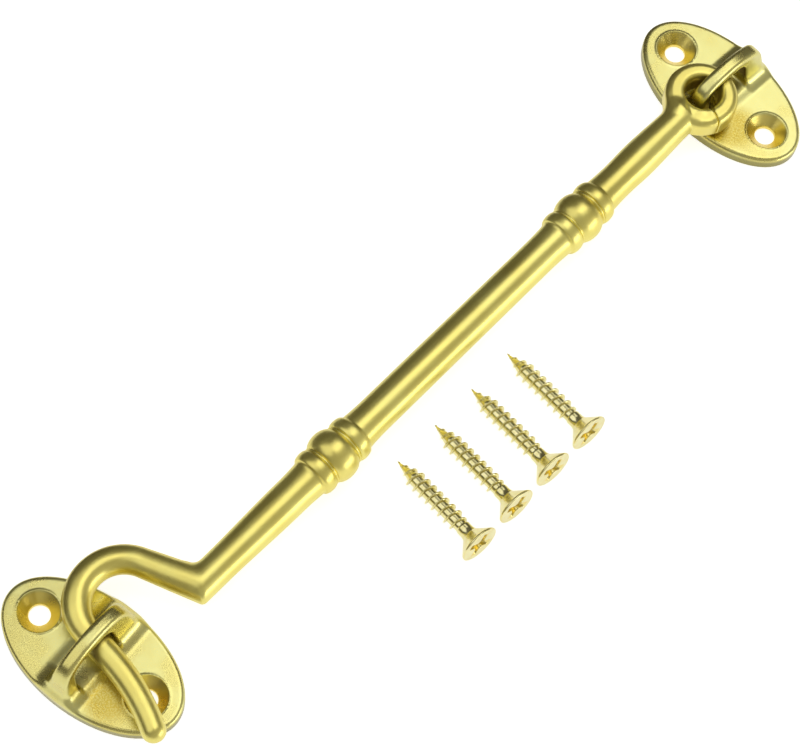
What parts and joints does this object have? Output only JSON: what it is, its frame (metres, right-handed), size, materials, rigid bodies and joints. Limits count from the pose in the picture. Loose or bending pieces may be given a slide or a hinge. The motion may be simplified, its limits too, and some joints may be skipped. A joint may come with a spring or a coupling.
{
  "type": "hook and eye latch",
  "caption": "Cabin hook: a beaded cast arm whose eye swings on an oval eye plate and whose crook drops through the staple of a matching catch plate, with loose countersunk screws.",
  "frame": {"origin": "middle of the pivot plate's back face, on the surface it is screwed to", "axes": "+Z away from the mounting surface, +Y along the pivot plate's long axis, the closed arm running along -X"},
  "size_m": [0.1679, 0.0498, 0.0114],
  "materials": {
    "plate_brass": "satin, fine cast grain",
    "arm_brass": "satin polish",
    "screw_plating": "bright plated"
  },
  "bodies": {
    "plates": {"pivot_plate": "plate_brass", "catch_plate": "plate_brass", "screw_1": "screw_plating", "screw_2": "screw_plating", "screw_3": "screw_plating", "screw_4": "screw_plating"},
    "arm": {"hook_arm": "arm_brass"}
  },
  "joints": [
    {"name": "hook_swing", "type": "hinge", "parent": "plates", "child": "arm", "pos_m": [-0.00626, 0, 0.0064], "axis": [0, 0, -1], "range_deg": [0, 140]}
  ]
}
